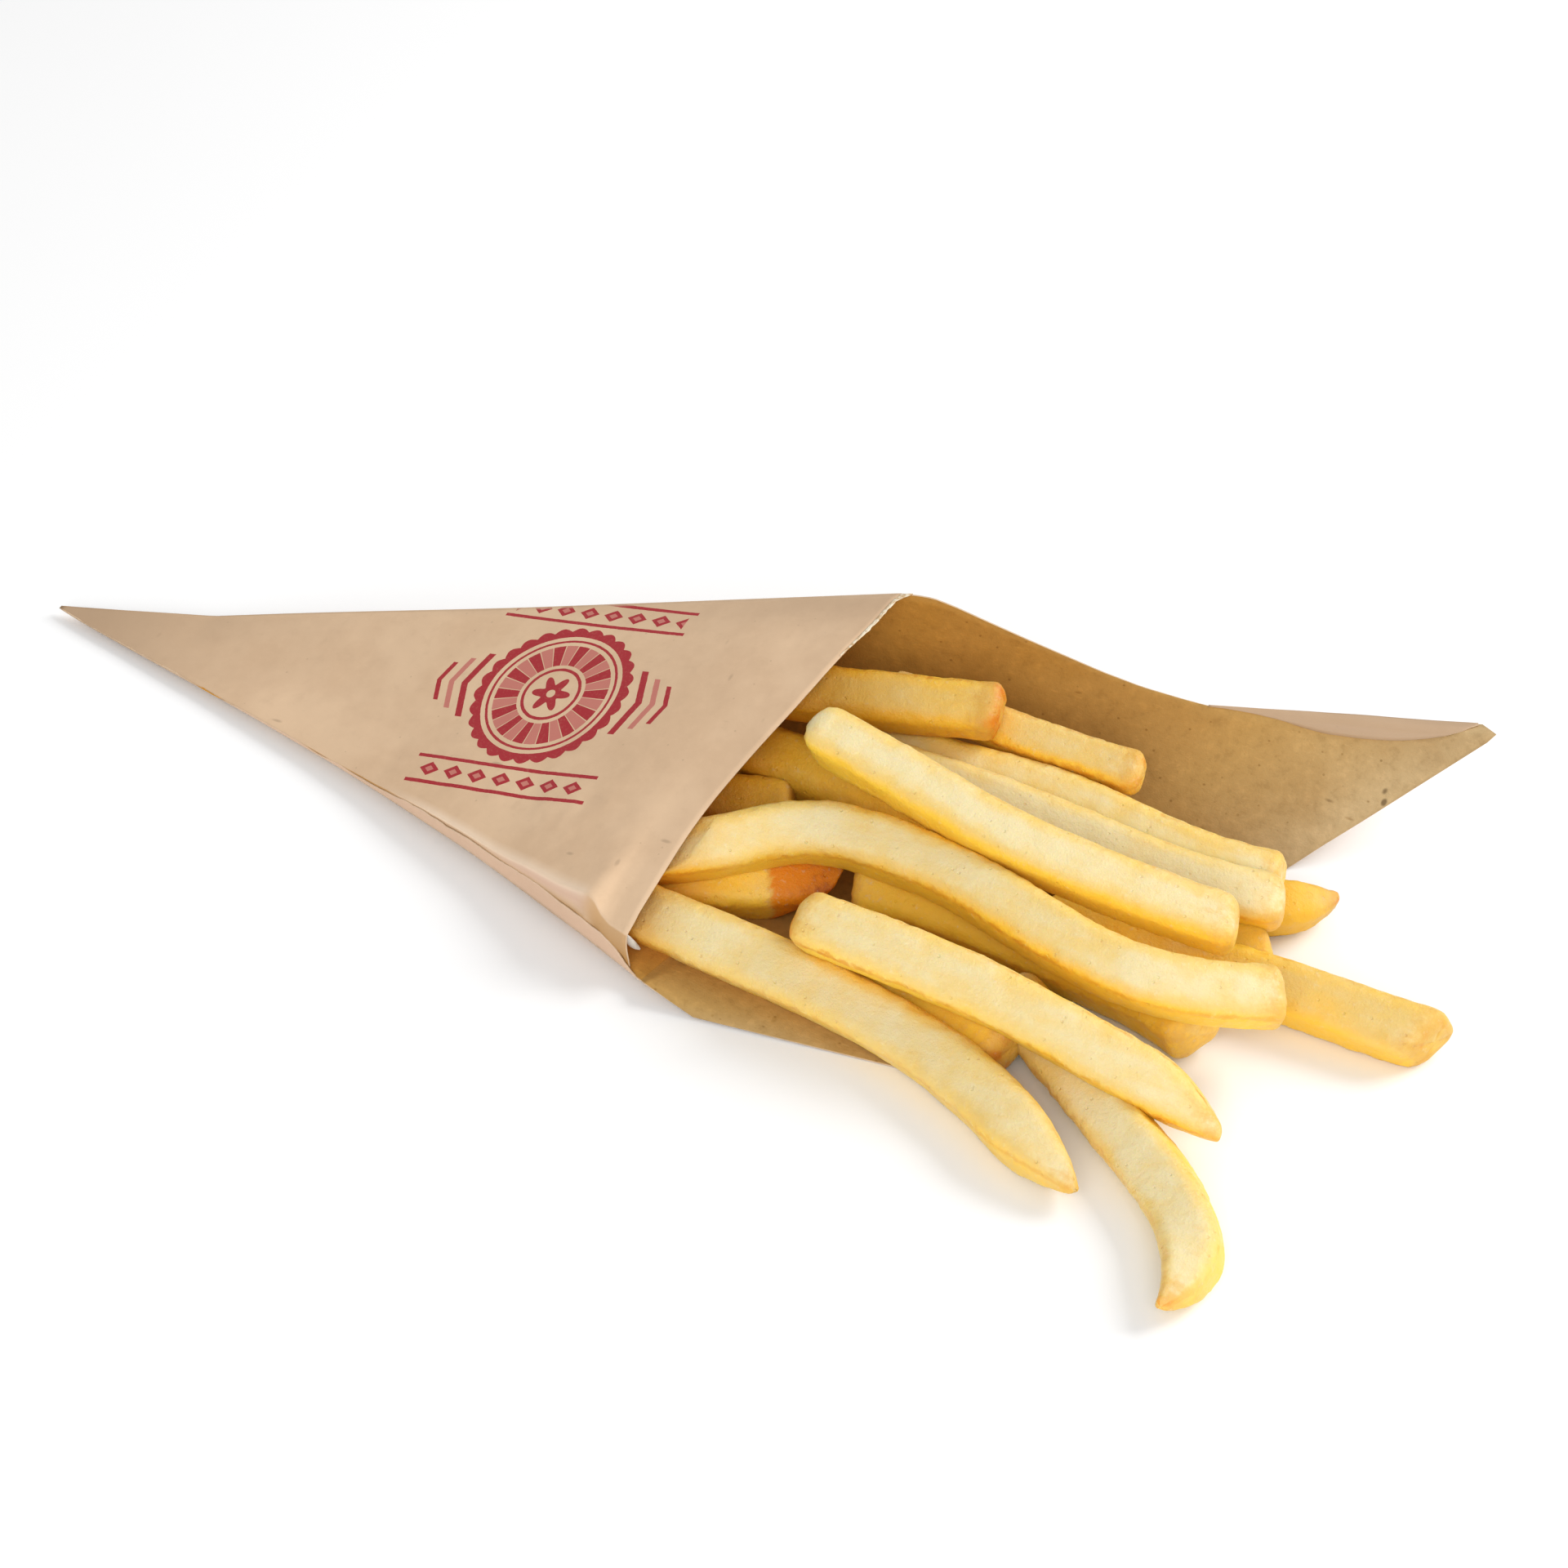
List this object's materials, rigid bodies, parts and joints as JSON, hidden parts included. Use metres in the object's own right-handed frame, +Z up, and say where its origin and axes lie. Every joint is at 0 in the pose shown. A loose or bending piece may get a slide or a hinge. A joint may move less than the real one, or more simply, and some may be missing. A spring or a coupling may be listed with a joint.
{
  "type": "cone of french fries",
  "caption": "Folded kraft paper cone lying on its side, open at the mouth with a long back tongue, filled with straight-cut french fries that spill out over the tongue.",
  "frame": {"origin": "centre of the footprint, on the surface that the object lies on", "axes": "+X runs along the cone from its point to its mouth, +Z is up, +Y is the far side with the raised fold"},
  "size_m": [0.2358, 0.1224, 0.0314],
  "materials": {
    "kraft_paper": "smooth light brown kraft outside, rougher tan inside",
    "fried_potato": "fried potato: pale yellow with golden edges, slightly oily"
  },
  "bodies": {
    "root": {"paper_cone": "kraft_paper", "fries": "fried_potato"}
  },
  "joints": []
}
